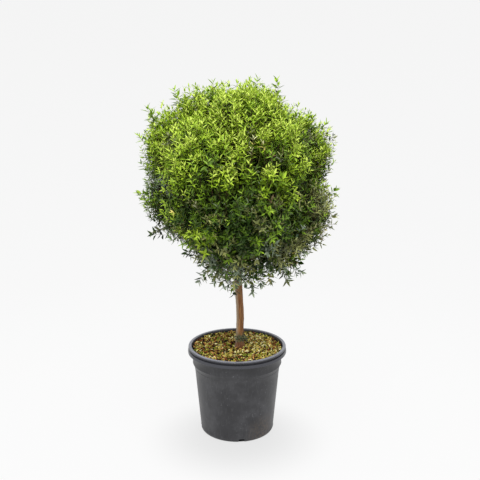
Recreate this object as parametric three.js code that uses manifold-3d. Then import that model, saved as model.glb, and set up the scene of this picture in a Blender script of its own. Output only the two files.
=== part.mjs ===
// A small-leaved evergreen shrub trained as a standard: one clear stem, a clipped ball
// of foliage on top, and the black nursery pot that it grows in.
// Millimetres, +Z up. The origin is the centre of the pot's flat underside.
// +X is the plant's right and -Y its front.
import * as THREE from "three";
import { mergeVertices } from "three/addons/utils/BufferGeometryUtils.js";
import Module from "manifold-3d";

const wasm = await Module();
wasm.setup();

// ---- driving dimensions ----

const GAP = 0.3; // clearance between pieces that touch

const pot = {
  height: 218,
  rimRadius: 121,
  lipHeight: 17,
  lipRounding: 4.5,
  lipWidth: 9,
  skirtTop: 110, // outer radius just under the lip
  skirtBottom: 108.8,
  skirtFloor: 174, // height where the skirt ends
  shoulderHeight: 10, // height of the slope from the skirt in to the body
  bodyTop: 104.4,
  bodyBottom: 90,
  footRounding: 6,
  wall: 2.6,
  floor: 4,
  sides: 32,
};

const notches = { count: 4, first: 277, width: 14.5, height: 9, depth: 13 }; // drainage, round the foot

const soil = { edgeLevel: 208.5, ground: 210.5, flatRadius: 24 };

const stem = {
  forkHeight: 466,
  baseX: 6.5,
  forkX: 4,
  sway: 1.5, // how far the stem wanders from a straight line
  footRadius: 13.5,
  flareHeight: 30,
  midRadius: 8.7,
  headRadius: 9.3,
  tipRadius: 7.4,
  sides: 12,
  steps: 20,
};

const bough = {
  rootRadius: 5.4,
  tipRadius: 3.9,
  length: 150,
  lift: 46, // degrees above level where it leaves the stem
  bend: 26, // degrees that it turns up along its length
  sides: 8,
  steps: 6,
};

// Where each bough leaves the stem: its height, and its bearing from +X.
const boughTiers = [
  { height: 419, first: 35, count: 3 },
  { height: 443, first: 80, count: 4 },
];
const leader = { rootRadius: 6.2, tipRadius: 4.6 };

// The bare, woody middle of the crown, open below round the stem: radius and height.
const hollow = [
  [0, 340],
  [20, 340],
  [26, 391],
  [42, 425],
  [61, 476],
  [58, 530],
  [35, 566],
  [0, 578],
];

// The clumps of foliage in four tiers, from the top of the crown down. Each has a name,
// its bearing from +X in degrees, the distance of its centre from the axis, its centre's
// height and its mean radius.
const clumps = [
  ["top_left", 163, 67, 750, 104],
  ["top_back", 52, 57, 753, 102],
  ["top_front", 290, 65, 753, 105],
  ["shoulder_right", 2, 112, 683, 113],
  ["shoulder_back_right", 63, 110, 674, 116],
  ["shoulder_back_left", 121, 112, 689, 112],
  ["shoulder_left", 181, 110, 697, 111],
  ["shoulder_front_left", 239, 111, 677, 116],
  ["shoulder_front_right", 300, 109, 685, 117],
  ["flank_left", 186, 120, 594, 104],
  ["flank_front_left", 237, 112, 570, 110],
  ["flank_front", 287, 116, 578, 113],
  ["flank_right_front", 338, 121, 564, 111],
  ["flank_right_back", 29, 116, 575, 111],
  ["flank_back", 82, 117, 579, 113],
  ["flank_back_left", 134, 112, 571, 110],
  ["skirt_left", 176, 31, 469, 86],
  ["skirt_right", 343, 77, 477, 91],
  ["skirt_front", 262, 61, 480, 94],
  ["skirt_back", 78, 65, 478, 94],
].map(([name, bearing, out, height, radius]) => ({ name, bearing, out, height, radius }));
const clumpDetail = 4; // subdivision of the icosahedron that a clump starts from
const unevenShare = 0.075; // how far a clump's surface wanders, as a share of its radius

// ---- helpers ----

function radians(degrees) {
  return (degrees * Math.PI) / 180;
}

// The point at a bearing, a distance from the axis and a height.
function polar(bearing, out, height) {
  const a = radians(bearing);
  return new THREE.Vector3(out * Math.cos(a), out * Math.sin(a), height);
}

// A smooth value from -1 to 1 over the directions, different for each seed.
function unevenness(d, seed) {
  const wave = (n, u) => Math.sin(n * d.x + u) + Math.sin(n * d.y + 1.7 * u) + Math.sin(n * d.z + 2.3 * u);
  const broad = wave(3.1, seed) / 3;
  const fine = (wave(8.3, 2.1 * seed) * Math.cos(6.7 * d.x - 5.9 * d.z + seed)) / 3;
  return 0.5 * broad + 0.5 * fine;
}

function toSolid(geometry) {
  const bare = new THREE.BufferGeometry().setAttribute("position", geometry.getAttribute("position"));
  bare.setIndex(geometry.index);
  const merged = mergeVertices(bare, 1e-3);
  return new wasm.Manifold(
    new wasm.Mesh({
      numProp: 3,
      vertProperties: new Float32Array(merged.attributes.position.array),
      triVerts: new Uint32Array(merged.index.array),
    }),
  );
}

function toGeometry(solid) {
  const mesh = solid.getMesh();
  const geometry = new THREE.BufferGeometry();
  geometry.setAttribute("position", new THREE.BufferAttribute(mesh.vertProperties, 3));
  geometry.setIndex(new THREE.BufferAttribute(mesh.triVerts, 1));
  geometry.computeVertexNormals();
  return geometry;
}

// The largest of the pieces that a cut has left.
function largest(solid) {
  return solid.decompose().sort((a, b) => b.volume() - a.volume())[0];
}

// A profile of [radius, height] pairs turned about the Z axis.
function turned(profile, sides) {
  const points = profile.map(([r, h]) => new THREE.Vector2(r, h));
  return new THREE.LatheGeometry(points, sides).rotateX(Math.PI / 2);
}

// Points of a quarter round from one bearing of the profile to another.
function arc(centreRadius, centreHeight, size, from, to, count) {
  return Array.from({ length: count + 1 }, (_, i) => {
    const a = radians(from + ((to - from) * i) / count);
    return [centreRadius + size * Math.cos(a), centreHeight + size * Math.sin(a)];
  });
}

// A closed limb: rings of points round a centreline, with level cuts where its ends are level.
function limb(centre, radius, sides, steps) {
  const positions = [];
  const indices = [];
  const side = new THREE.Vector3();
  const up = new THREE.Vector3();
  for (let i = 0; i <= steps; i++) {
    const t = i / steps;
    const p = centre(t);
    const along = centre(Math.min(1, t + 0.01)).sub(centre(Math.max(0, t - 0.01))).normalize();
    if ((i === 0 || i === steps) && along.z > 0.95) along.set(0, 0, 1);
    side.crossVectors(along, new THREE.Vector3(0.31, 0.95, 0)).normalize();
    up.crossVectors(side, along);
    for (let k = 0; k < sides; k++) {
      const a = (2 * Math.PI * k) / sides;
      const r = radius(t, a);
      const q = p.clone().addScaledVector(side, r * Math.cos(a)).addScaledVector(up, r * Math.sin(a));
      positions.push(q.x, q.y, q.z);
    }
  }
  for (let i = 0; i < steps; i++) {
    for (let k = 0; k < sides; k++) {
      const a = i * sides + k;
      const b = i * sides + ((k + 1) % sides);
      indices.push(a, a + sides, b, b, a + sides, b + sides);
    }
  }
  for (const [first, flip] of [[0, false], [steps * sides, true]]) {
    for (let k = 1; k < sides - 1; k++) {
      indices.push(first, first + (flip ? k + 1 : k), first + (flip ? k : k + 1));
    }
  }
  const geometry = new THREE.BufferGeometry();
  geometry.setAttribute("position", new THREE.Float32BufferAttribute(positions, 3));
  geometry.setIndex(indices);
  return geometry;
}

// ---- pot and soil ----

// The outer wall's radius on the tapered body.
function bodyRadius(height) {
  const top = pot.skirtFloor - pot.shoulderHeight;
  return pot.bodyBottom + ((pot.bodyTop - pot.bodyBottom) * height) / top;
}

// The radius of the cavity, one wall inside the outer surface.
function cavityRadius(height) {
  return bodyRadius(height) - pot.wall;
}

function potSolid() {
  const { height, rimRadius, lipHeight, lipWidth, lipRounding: roll, footRounding: foot } = pot;
  const lipFoot = rimRadius - 1.5;
  const bodyEnd = pot.skirtFloor - pot.shoulderHeight;
  const innerRim = rimRadius - lipWidth;
  const profile = [
    [0, 0],
    ...arc(pot.bodyBottom - foot, foot, foot, -90, 0, 3),
    [bodyRadius(bodyEnd), bodyEnd],
    [pot.skirtBottom, pot.skirtFloor],
    [pot.skirtTop, height - lipHeight],
    [lipFoot - 3, height - lipHeight],
    [lipFoot, height - lipHeight + 1.5],
    ...arc(rimRadius - roll, height - roll, roll, 0, 90, 3),
    [innerRim, height - 1.5],
    [pot.skirtTop - pot.wall, height - lipHeight],
    [pot.skirtBottom - pot.wall, pot.skirtFloor],
    [cavityRadius(bodyEnd), bodyEnd],
    [cavityRadius(pot.floor), pot.floor],
    [0, pot.floor],
  ];
  return toSolid(turned(profile, pot.sides));
}

// An arch that stands at the foot of the wall, to be cut out of it.
function notchCutter(bearing) {
  const arch = new THREE.Shape();
  const half = notches.width / 2;
  arch.moveTo(-half, -1);
  arch.lineTo(half, -1);
  arch.quadraticCurveTo(half * 0.9, notches.height, 0, notches.height);
  arch.quadraticCurveTo(-half * 0.9, notches.height, -half, -1);
  const block = new THREE.ExtrudeGeometry(arch, { depth: notches.depth + 2, bevelEnabled: false, curveSegments: 4 });
  block.rotateX(Math.PI / 2);
  block.translate(0, -(pot.bodyBottom - notches.depth), 0);
  block.rotateZ(radians(bearing + 90));
  return toSolid(block);
}

function drainedPot() {
  let solid = potSolid();
  for (let i = 0; i < notches.count; i++) {
    solid = solid.subtract(notchCutter(notches.first + (360 * i) / notches.count));
  }
  return toGeometry(solid);
}

// The compost fills the cavity and rises a little towards the stem.
function soilGeometry() {
  const bodyEnd = pot.skirtFloor - pot.shoulderHeight;
  const skirtShare = (soil.edgeLevel - pot.skirtFloor) / (pot.height - pot.lipHeight - pot.skirtFloor);
  const edge = pot.skirtBottom + (pot.skirtTop - pot.skirtBottom) * Math.min(1, skirtShare) - pot.wall - GAP;
  const profile = [
    [0, pot.floor + GAP],
    [cavityRadius(pot.floor) - GAP, pot.floor + GAP],
    [cavityRadius(bodyEnd) - GAP, bodyEnd],
    [pot.skirtBottom - pot.wall - GAP, pot.skirtFloor],
    [edge, soil.edgeLevel],
    [(edge + soil.flatRadius) / 2, (soil.edgeLevel + 2 * soil.ground) / 3],
    [soil.flatRadius, soil.ground],
    [0, soil.ground],
  ];
  return turned(profile, pot.sides);
}

// ---- stem and boughs ----

const stemBase = soil.ground + GAP;

function stemCentre(t) {
  const z = stemBase + (stem.forkHeight - stemBase) * t;
  const settle = Math.min(1, 6 * t); // the foot stands straight up out of the ground
  const x = stem.baseX + (stem.forkX - stem.baseX) * t + settle * stem.sway * Math.sin(9.2 * t - 1.3);
  const y = settle * stem.sway * Math.sin(6.1 * t + 0.8);
  return new THREE.Vector3(x, y, z);
}

function stemRadius(t, angle) {
  const above = (stem.forkHeight - stemBase) * t;
  const flare = (stem.footRadius - stem.midRadius) * Math.exp(-above / (stem.flareHeight / 2));
  const body = t < 0.75
    ? stem.midRadius + (stem.headRadius - stem.midRadius) * (t / 0.75)
    : stem.headRadius + (stem.tipRadius - stem.headRadius) * ((t - 0.75) / 0.25);
  const fluting = 0.04 * Math.sin(3 * angle + 2 * t) + flare * 0.02 * Math.cos(4 * angle);
  return (body + flare) * (1 + fluting);
}

// The stem, or the space that it takes with a clearance round it.
function stemGeometry(clearance) {
  return limb(stemCentre, (t, a) => stemRadius(t, a) + clearance, stem.sides, stem.steps);
}

// A bough's centreline: out and up from the middle of the stem, turning steeper.
function boughCentre(bearing, height) {
  const start = stemCentre((height - stemBase) / (stem.forkHeight - stemBase));
  const outward = polar(bearing, 1, 0);
  return (t) => {
    const p = start.clone();
    const pieces = 12;
    for (let i = 0; i < pieces; i++) {
      const lift = radians(bough.lift + bough.bend * ((i + 0.5) / pieces) * t);
      const step = (bough.length * t) / pieces;
      p.addScaledVector(outward, step * Math.cos(lift));
      p.z += step * Math.sin(lift);
    }
    return p;
  };
}

function taper(root, tip) {
  return (t) => root + (tip - root) * t;
}

// The crown's bare middle, drawn in by a clearance.
function hollowSolid(clearance) {
  const [low, high] = [hollow[0][1], hollow[hollow.length - 1][1]];
  const profile = hollow.map(([r, h]) => [
    r === 0 ? 0 : r - clearance,
    h === low ? h : h - clearance * ((h - low) / (high - low)) * 1.2,
  ]);
  return toSolid(turned(profile, 20).translate(stem.forkX, 0, 0));
}

// Every bough and, last, the leader, trimmed to start at the stem and to end where the
// foliage begins.
function boughGeometries() {
  const reach = hollowSolid(GAP);
  const stemSpace = toSolid(stemGeometry(GAP));
  const shape = taper(bough.rootRadius, bough.tipRadius);
  const made = [];
  for (const { height, first, count } of boughTiers) {
    for (let i = 0; i < count; i++) {
      const centre = boughCentre(first + (360 * i) / count, height);
      const whole = toSolid(limb(centre, shape, bough.sides, bough.steps));
      made.push(largest(whole.intersect(reach).subtract(stemSpace)));
    }
  }
  const start = stemCentre(1).setZ(stem.forkHeight + GAP);
  const top = new THREE.Vector3(stem.forkX, 0, hollow.at(-1)[1]);
  const leaderCentre = (t) => start.clone().lerp(top, t);
  const whole = toSolid(limb(leaderCentre, taper(leader.rootRadius, leader.tipRadius), bough.sides, 4));
  made.push(largest(whole.intersect(reach)));
  return made.map(toGeometry);
}

// ---- foliage ----

// An uneven ball round a clump's centre.
function clumpBall(clump, seed) {
  const ball = new THREE.IcosahedronGeometry(1, clumpDetail);
  const points = ball.getAttribute("position");
  const d = new THREE.Vector3();
  for (let i = 0; i < points.count; i++) {
    d.fromBufferAttribute(points, i).normalize();
    d.multiplyScalar(clump.radius * (1 + unevenShare * unevenness(d, seed)));
    points.setXYZ(i, d.x, d.y, d.z);
  }
  const { x, y, z } = polar(clump.bearing, clump.out, clump.height);
  return toSolid(ball.translate(x, y, z));
}

// Each ball is cut back to the plane where it meets each neighbour, so that the clumps
// lie against each other, and hollowed where the crown has no leaves.
function clumpGeometries() {
  const middle = hollowSolid(0);
  const centres = clumps.map((c) => polar(c.bearing, c.out, c.height));
  return clumps.map((clump, i) => {
    let solid = clumpBall(clump, 1.3 * i + 0.7);
    clumps.forEach((other, j) => {
      const between = centres[j].clone().sub(centres[i]);
      const apart = between.length();
      if (i === j || apart > clump.radius + other.radius) return;
      const weight = (clump.radius ** 2 - other.radius ** 2) / (2 * apart);
      const away = between.divideScalar(-apart);
      const plane = away.dot(centres[i]) - (apart / 2 + weight - GAP / 2);
      solid = solid.trimByPlane([away.x, away.y, away.z], plane);
    });
    return toGeometry(largest(solid.subtract(middle)));
  });
}

// ---- the plant ----

const materials = {
  pot: new THREE.MeshStandardMaterial({ color: 0x3c3d40, roughness: 0.6, metalness: 0 }),
  soil: new THREE.MeshStandardMaterial({ color: 0x6b5a36, roughness: 0.95, metalness: 0 }),
  bark: new THREE.MeshStandardMaterial({ color: 0x8a6a4a, roughness: 0.85, metalness: 0 }),
  leaf: new THREE.MeshStandardMaterial({ color: 0x5d7a28, roughness: 0.55, metalness: 0 }),
};

const plant = new THREE.Group();

function add(group, name, geometry, material) {
  const mesh = new THREE.Mesh(geometry, material);
  mesh.name = name;
  group.add(mesh);
}

const container = new THREE.Group();
add(container, "pot", drainedPot(), materials.pot);
add(container, "soil", soilGeometry(), materials.soil);

const wood = new THREE.Group();
add(wood, "trunk", stemGeometry(0), materials.bark);
const boughs = boughGeometries();
add(wood, "leader", boughs.pop(), materials.bark);
boughs.forEach((geometry, i) => add(wood, `bough_${i + 1}`, geometry, materials.bark));

const crown = new THREE.Group();
clumpGeometries().forEach((geometry, i) => add(crown, `foliage_${clumps[i].name}`, geometry, materials.leaf));

plant.add(container, wood, crown);

export default plant;
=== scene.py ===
# A small-leaved evergreen trained as a standard, in its black nursery pot.
# The pot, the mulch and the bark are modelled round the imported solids; the crown is
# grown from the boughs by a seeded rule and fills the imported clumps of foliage.
import math
import bmesh
import bpy
import numpy as np
from mathutils import Matrix, Vector, noise
from mathutils.bvhtree import BVHTree
from mathutils.kdtree import KDTree


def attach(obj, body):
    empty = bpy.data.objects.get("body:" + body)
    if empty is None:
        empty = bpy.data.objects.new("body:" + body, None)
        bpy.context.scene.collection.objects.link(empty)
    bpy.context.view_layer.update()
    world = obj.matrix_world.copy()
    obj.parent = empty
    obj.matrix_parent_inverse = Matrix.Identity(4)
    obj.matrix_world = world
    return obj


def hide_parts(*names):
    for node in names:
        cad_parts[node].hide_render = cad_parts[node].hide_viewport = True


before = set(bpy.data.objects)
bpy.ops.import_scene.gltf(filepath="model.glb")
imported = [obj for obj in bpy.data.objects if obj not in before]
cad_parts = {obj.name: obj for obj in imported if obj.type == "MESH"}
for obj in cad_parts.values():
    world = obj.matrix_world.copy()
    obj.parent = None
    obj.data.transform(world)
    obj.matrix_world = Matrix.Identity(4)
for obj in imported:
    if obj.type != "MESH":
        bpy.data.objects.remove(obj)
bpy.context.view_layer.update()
mm = 0.001
perMm = 1000  # a pattern's scale is perMm over its size in millimetres


def linear(hexColour):
    # shaders take linear light, the hex values are sRGB
    parts = [int(hexColour[i:i + 2], 16) / 255 for i in (1, 3, 5)]
    return [c / 12.92 if c <= 0.04045 else ((c + 0.055) / 1.055) ** 2.4 for c in parts] + [1]


def setInputs(tree, node, inputs):
    # each input is given a value, a socket to link, or a node whose first output in use is linked
    for key, value in inputs.items():
        if isinstance(value, bpy.types.Node):
            value = next(socket for socket in value.outputs if socket.enabled)
        if isinstance(value, bpy.types.NodeSocket):
            tree.links.new(value, node.inputs[key])
        else:
            node.inputs[key].default_value = value


def addNode(tree, kind, inputs=None, **settings):
    node = tree.nodes.new("ShaderNode" + kind)
    for key, value in settings.items():
        setattr(node, key, value)
    setInputs(tree, node, inputs or {})
    return node


def newMaterial(name, base, roughness, ior=1.5, gloss=0.5):
    material = bpy.data.materials.new(name)
    material.use_nodes = True
    tree = material.node_tree
    shader = tree.nodes["Principled BSDF"]
    setInputs(tree, shader, {
        "Base Color": linear(base), "Roughness": roughness, "IOR": ior, "Specular IOR Level": gloss})
    return material, tree, shader


def setStops(ramp, stops):
    # stops are [position, hex colour], from left to right
    elements = ramp.color_ramp.elements
    while len(elements) < len(stops):
        elements.new(0.5)
    for element, (position, colour) in zip(elements, stops):
        element.position = position
        element.color = linear(colour)


def meshOf(name, bm):
    mesh = bpy.data.meshes.new(name)
    bm.to_mesh(mesh)
    bm.free()
    return mesh


def addObject(name, data, materials=(), smooth=True):
    for material in materials:
        data.materials.append(material)
    if isinstance(data, bpy.types.Mesh):
        data.polygons.foreach_set("use_smooth", [smooth] * len(data.polygons))
    added = bpy.data.objects.new(name, data)
    bpy.context.scene.collection.objects.link(added)
    return added


def finishPiece(name, mesh, materials, nodes, smooth=True):
    piece = addObject(name, mesh, materials, smooth)
    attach(piece, "root")
    if nodes:
        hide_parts(*nodes)
    return piece


def unit(v):
    return v / np.maximum(np.linalg.norm(v, axis=-1, keepdims=True), 1e-9)


def spunShell(points, turns):
    # a line of [radius, height] points spun once round the upright axis
    bm = bmesh.new()
    line = [bm.verts.new((r, 0, z)) for r, z in points]
    edges = [bm.edges.new(pair) for pair in zip(line, line[1:])]
    bmesh.ops.spin(bm, geom=line + edges, cent=(0, 0, 0), axis=(0, 0, 1), angle=2 * math.pi,
                   steps=turns, use_merge=True)
    bmesh.ops.remove_doubles(bm, verts=bm.verts, dist=1e-6)
    bmesh.ops.recalc_face_normals(bm, faces=bm.faces)
    return bm


# the pot
pot = {
    "height": 218 * mm, "rim": 121 * mm, "lip": 17 * mm, "roll": 3 * mm, "lipWidth": 9 * mm, "tuck": 3.8 * mm,
    "skirtTop": 110 * mm, "skirtLow": 108.8 * mm, "skirtFloor": 174 * mm, "step": 10 * mm,
    "bodyTop": 104.4 * mm, "foot": 90 * mm, "footRound": 6 * mm, "wall": 2.6 * mm, "floor": 4 * mm,
    "bead": 0.55 * mm, "bands": 9, "turns": 144, "crisp": 38,
    "notches": 4, "notchWidth": 14.5 * mm, "notchTop": 9 * mm, "notchDepth": 13 * mm, "notchRound": 3 * mm,
    "firstNotch": 277,
}
# what lies on the plastic, with the painted shade and highlight on the lip, each as where its mask starts and
# is full, how much it hides, and its colour
potCoats = {
    "rubs": [0.56, 0.78, 0.38, "#57585a"], "specks": [0.68, 0.76, 0.55, "#77777a"],
    # the groove's dark line below is painted shade, and the pale band on the roll's top is a painted
    # highlight
    "lip": [0.199, 0.203, 0.8, "#3c3d44"], "grooveShade": [0.0026, 0.0012, 0.85, "#16161d"],
    "rollHighlight": [0.2160, 0.2176, 0.8, "#8c8e98"], "splash": [0.050, 0.016, 0.8, "#6a5a48"],
}


def quarter(centreR, centreZ, size, start, end, count):
    for i in range(count + 1):
        a = math.radians(start + (end - start) * i / count)
        yield centreR + size * math.cos(a), centreZ + size * math.sin(a)


def potProfile(p):
    top, under = p["height"], p["height"] - p["lip"]
    stepTop, stepLow = p["skirtFloor"], p["skirtFloor"] - p["step"]
    foot, footRound, body, low, skirt = p["foot"], p["footRound"], p["bodyTop"], p["skirtLow"], p["skirtTop"]
    yield 0, 0
    yield foot * 0.5, 0
    yield from quarter(foot - footRound, footRound, footRound, -90, 0, 6)
    yield foot + 0.75 * mm, footRound + 1.2 * mm  # a fine ridge round the foot
    yield foot + 0.1 * mm, footRound + 2.6 * mm
    for i in range(1, p["bands"]):  # a straight taper, cut into bands
        yield foot + (body - foot) * i / p["bands"], footRound + (stepLow - footRound) * i / p["bands"]
    yield body, stepLow - 1.6 * mm
    yield body + p["bead"], stepLow - 0.8 * mm  # a moulded bead under the step
    yield body + 0.2 * mm, stepLow
    yield body + 1.2 * mm, stepLow + 2.5 * mm
    yield low - 0.9 * mm, stepTop - 2 * mm
    yield low, stepTop
    yield low + p["bead"], stepTop + 0.8 * mm  # and one over it
    yield low + 0.1 * mm, stepTop + 1.7 * mm
    yield skirt, under - 1.5 * mm
    yield skirt + 1.5 * mm, under + 0.3 * mm
    # the lip: a rounded lower edge, a face that leans in to a groove, and a rolled top
    edge = p["rim"] - 1.7 * mm
    yield edge - 2 * mm, under
    yield from quarter(edge, under + 1.7 * mm, 1.7 * mm, -90, 20, 6)
    yield p["rim"] - 0.4 * mm, under + 5.5 * mm
    yield p["rim"] - 1.1 * mm, under + 8 * mm
    yield p["rim"] - p["tuck"], under + 9 * mm
    yield p["rim"] - p["tuck"], under + 10.4 * mm
    yield from quarter(p["rim"] - 1.3 * mm - p["roll"], top - p["roll"], p["roll"], -65, 90, 10)
    yield from quarter(p["rim"] - p["lipWidth"] + 1.6 * mm, top - 1.6 * mm, 1.6 * mm, 90, 180, 4)
    yield skirt - p["wall"], under
    yield low - p["wall"], stepTop
    yield body - p["wall"], stepLow
    yield foot - p["wall"] + 0.4 * mm, p["floor"]
    yield 0, p["floor"]


def notchCutter(p):
    # one slot with rounded upper corners, spun round the foot
    bm = bmesh.new()
    slot = bmesh.ops.create_cube(bm, size=1)["verts"]
    bmesh.ops.scale(bm, verts=slot, vec=(p["notchDepth"] * 2, p["notchWidth"], p["notchTop"] * 2))
    upper = [e for e in bm.edges if e.verts[0].co.z > 0
             and abs(e.verts[0].co.x - e.verts[1].co.x) > p["notchDepth"]]
    bmesh.ops.bevel(bm, geom=upper, offset=p["notchRound"], segments=4, profile=0.5, affect="EDGES",
                    material=-1)
    bmesh.ops.translate(bm, verts=bm.verts, vec=(p["foot"], 0, 0))
    turned = Matrix.Rotation(math.radians(p["firstNotch"]), 3, "Z")
    bmesh.ops.rotate(bm, verts=bm.verts, cent=(0, 0, 0), matrix=turned)
    more = p["notches"] - 1
    bmesh.ops.spin(bm, geom=bm.verts[:] + bm.edges[:] + bm.faces[:], cent=(0, 0, 0), axis=(0, 0, 1),
                   angle=2 * math.pi / p["notches"] * more, steps=more, use_duplicate=True)
    return addObject("notchCutter", meshOf("notchCutter", bm))


def potMaterial(coats):
    # black polypropylene, injection moulded: a dull sheen, a faint orange peel, and the dust and
    # lime scuffs of a season on the bench
    material, tree, shader = newMaterial("mouldedPolypropylene", "#333335", 0.5, 1.49)
    place = addNode(tree, "TexCoord").outputs["Object"]
    height = addNode(tree, "SeparateXYZ", {"Vector": place}).outputs["Z"]
    # clouds of dust about 40 mm across
    clouds = addNode(tree, "TexNoise", {"Vector": place, "Scale": perMm / 40, "Detail": 5, "Roughness": 0.6})
    surface = addNode(tree, "ValToRGB", {"Fac": clouds})
    setStops(surface, [[0.3, "#222225"], [0.5, "#2d2d30"], [0.7, "#414144"]])
    # upright rub marks about 4 mm wide and 16 mm long
    stretch = addNode(tree, "Mapping", {"Vector": place, "Scale": (perMm / 4, perMm / 4, perMm / 16)})
    rubs = addNode(tree, "TexNoise", {"Vector": stretch, "Scale": 1, "Detail": 4})
    # pale lime specks in a pattern about 5 mm across
    specks = addNode(tree, "TexNoise", {"Vector": place, "Scale": perMm / 5, "Detail": 2})
    # painted shade: a dark line in the groove under the roll, 210.8 mm up, for the undercut's shadow with
    # some grime
    groove = addNode(tree, "Math", {0: height, 1: 210.8 * mm}, operation="SUBTRACT")
    groove = addNode(tree, "Math", {0: groove}, operation="ABSOLUTE")
    # the earth is splashed round a place low on the right of the front
    away = addNode(tree, "VectorMath", {0: place, 1: (0.062, -0.068, 0.020)}, operation="DISTANCE")
    masks = {"rubs": rubs, "specks": specks, "lip": height, "grooveShade": groove, "rollHighlight": height, "splash": away}
    for name, source in masks.items():
        start, full, most, _ = coats[name]
        masks[name] = addNode(tree, "MapRange", {
            "Value": source, "From Min": start, "From Max": full, "To Max": most})
    # a painted highlight along the roll's top, patchy where the dust lies, and the earth is 6 mm grit
    rollHighlight = addNode(tree, "Math", {0: masks["rollHighlight"], 1: clouds}, operation="MULTIPLY")
    masks["rollHighlight"] = addNode(tree, "Math", {0: rollHighlight, 1: 1.6}, operation="MULTIPLY", use_clamp=True)
    grit = addNode(tree, "TexNoise", {"Vector": place, "Scale": perMm / 6, "Detail": 6, "Roughness": 0.75})
    grit = addNode(tree, "MapRange", {"Value": grit, "From Min": 0.4, "From Max": 0.62, "To Max": 0.5})
    masks["splash"] = addNode(tree, "Math", {0: masks["splash"], 1: grit}, operation="MULTIPLY")
    for name, mask in masks.items():
        surface = addNode(tree, "Mix", {
            "Factor": mask, "A": surface, "B": linear(coats[name][3])}, data_type="RGBA")
    # dusty places are rougher, and the lip is sleeker than the body
    rough = addNode(tree, "MapRange", {
        "Value": clouds, "From Min": 0.3, "From Max": 0.7, "To Min": 0.34, "To Max": 0.52})
    sleek = addNode(tree, "Math", {0: masks["lip"], 1: -0.15}, operation="MULTIPLY")
    rough = addNode(tree, "Math", {0: rough, 1: sleek}, operation="ADD")
    # orange peel about 1.5 mm across
    peel = addNode(tree, "TexNoise", {"Vector": place, "Scale": perMm / 1.5, "Detail": 1})
    bump = addNode(tree, "Bump", {"Height": peel, "Strength": 0.12, "Distance": 0.3 * mm})
    bump = addNode(tree, "Bump", {"Height": rubs, "Strength": 0.15, "Distance": 0.3 * mm, "Normal": bump})
    setInputs(tree, shader, {"Base Color": surface, "Roughness": rough, "Normal": bump})
    return material


def sharpen(piece, limit):
    # smooth shading, with edges over the limit in degrees left crisp
    bm = bmesh.new()
    bm.from_mesh(piece.data)
    for edge in bm.edges:
        if len(edge.link_faces) == 2 and edge.calc_face_angle() > math.radians(limit):
            edge.smooth = False
    bm.to_mesh(piece.data)
    bm.free()


def makePot(p):
    shell = meshOf("nursery_pot", spunShell(potProfile(p), p["turns"]))
    piece = finishPiece("nursery_pot", shell, [potMaterial(potCoats)], ["pot"])
    cutter = notchCutter(p)
    cut = piece.modifiers.new("notches", "BOOLEAN")
    cut.operation = "DIFFERENCE"
    cut.solver = "EXACT"
    cut.use_self = True
    cut.object = cutter
    bpy.context.view_layer.objects.active = piece
    bpy.ops.object.modifier_apply(modifier="notches")
    bpy.data.objects.remove(cutter)
    sharpen(piece, p["crisp"])
    return piece


nurseryPot = makePot(pot)
print("pot:", len(nurseryPot.data.polygons), "faces")

# the stem and its boughs
stem = {
    "foot": 209.8 * mm, "fork": 466 * mm, "baseX": 6.5 * mm, "forkX": 4 * mm, "sway": 1.5 * mm,
    "footRadius": 13.5 * mm, "flare": 15 * mm, "mid": 8.7 * mm, "head": 9.3 * mm, "tip": 7.4 * mm,
    "headAt": 0.75, "lobes": [0.04, 0.16], "swell": 5.5 * mm, "swellBearing": -72,
    "sides": 56, "rings": 190, "seed": 3.7,
}
bough = {
    "root": 5.4 * mm, "tip": 3.9 * mm, "length": 150 * mm, "lift": 46, "bend": 26, "steps": 12,
    "tiers": [[419 * mm, 35, 3], [443 * mm, 80, 4]], "sides": 18, "rings": 40,
    # height, bearing, radius and reach of each cut stub
    "stubs": [[346 * mm, 205, 4.6 * mm, 3.4 * mm], [357 * mm, 318, 2.2 * mm, 0.9 * mm],
              [392 * mm, 80, 3.6 * mm, 5 * mm]], "stubSides": 20, "stubRings": 10, "stubTaper": 0.65,
    "leaderRoot": 6.2 * mm, "leaderTip": 4.6 * mm, "leaderTop": 578 * mm, "leaderSeed": 9.1,
}
# the bark's relief as shares of the radius, and how often each pattern comes round and along the wood
relief = {"ridges": [0.055, 3.1, 46], "flakes": [0.04, 6.5, 130], "swells": [0.05, 0.8, 24]}
# where the bare middle of the crown ends, as [radius, height], round the stem's top
hollow = [[0.020, 0.340], [0.026, 0.391], [0.042, 0.425], [0.061, 0.476],
          [0.058, 0.530], [0.035, 0.566], [0, 0.578]]


def outwards(bearing, rise):
    return Vector((math.cos(math.radians(bearing)), math.sin(math.radians(bearing)), rise)).normalized()


def stemCentre(z):
    t = min(1, max(0, (z - stem["foot"]) / (stem["fork"] - stem["foot"])))
    settle = min(1, 6 * t) * stem["sway"]
    x = stem["baseX"] + (stem["forkX"] - stem["baseX"]) * t + settle * math.sin(9.2 * t - 1.3)
    return Vector((x, settle * math.sin(6.1 * t + 0.8), z))


def stemRadius(z, angle):
    t = (z - stem["foot"]) / (stem["fork"] - stem["foot"])
    fade = (z - stem["foot"]) / stem["flare"]
    flare = (stem["footRadius"] - stem["mid"]) * math.exp(-fade)
    if t < stem["headAt"]:
        body = stem["mid"] + (stem["head"] - stem["mid"]) * t / stem["headAt"]
    else:
        body = stem["head"] + (stem["tip"] - stem["head"]) * (t - stem["headAt"]) / (1 - stem["headAt"])
    slight, footLobes = stem["lobes"]
    spread = slight * math.sin(3 * angle + 2 * t)
    spread += footLobes * flare / stem["mid"] * math.sin(5 * angle + 0.7)
    # the foot swells most at the front
    swell = max(0, math.cos(angle - math.radians(stem["swellBearing"]))) ** 5
    return (body + flare) * (1 + spread) + swell * stem["swell"] * math.exp(-fade * 1.5)


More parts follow.
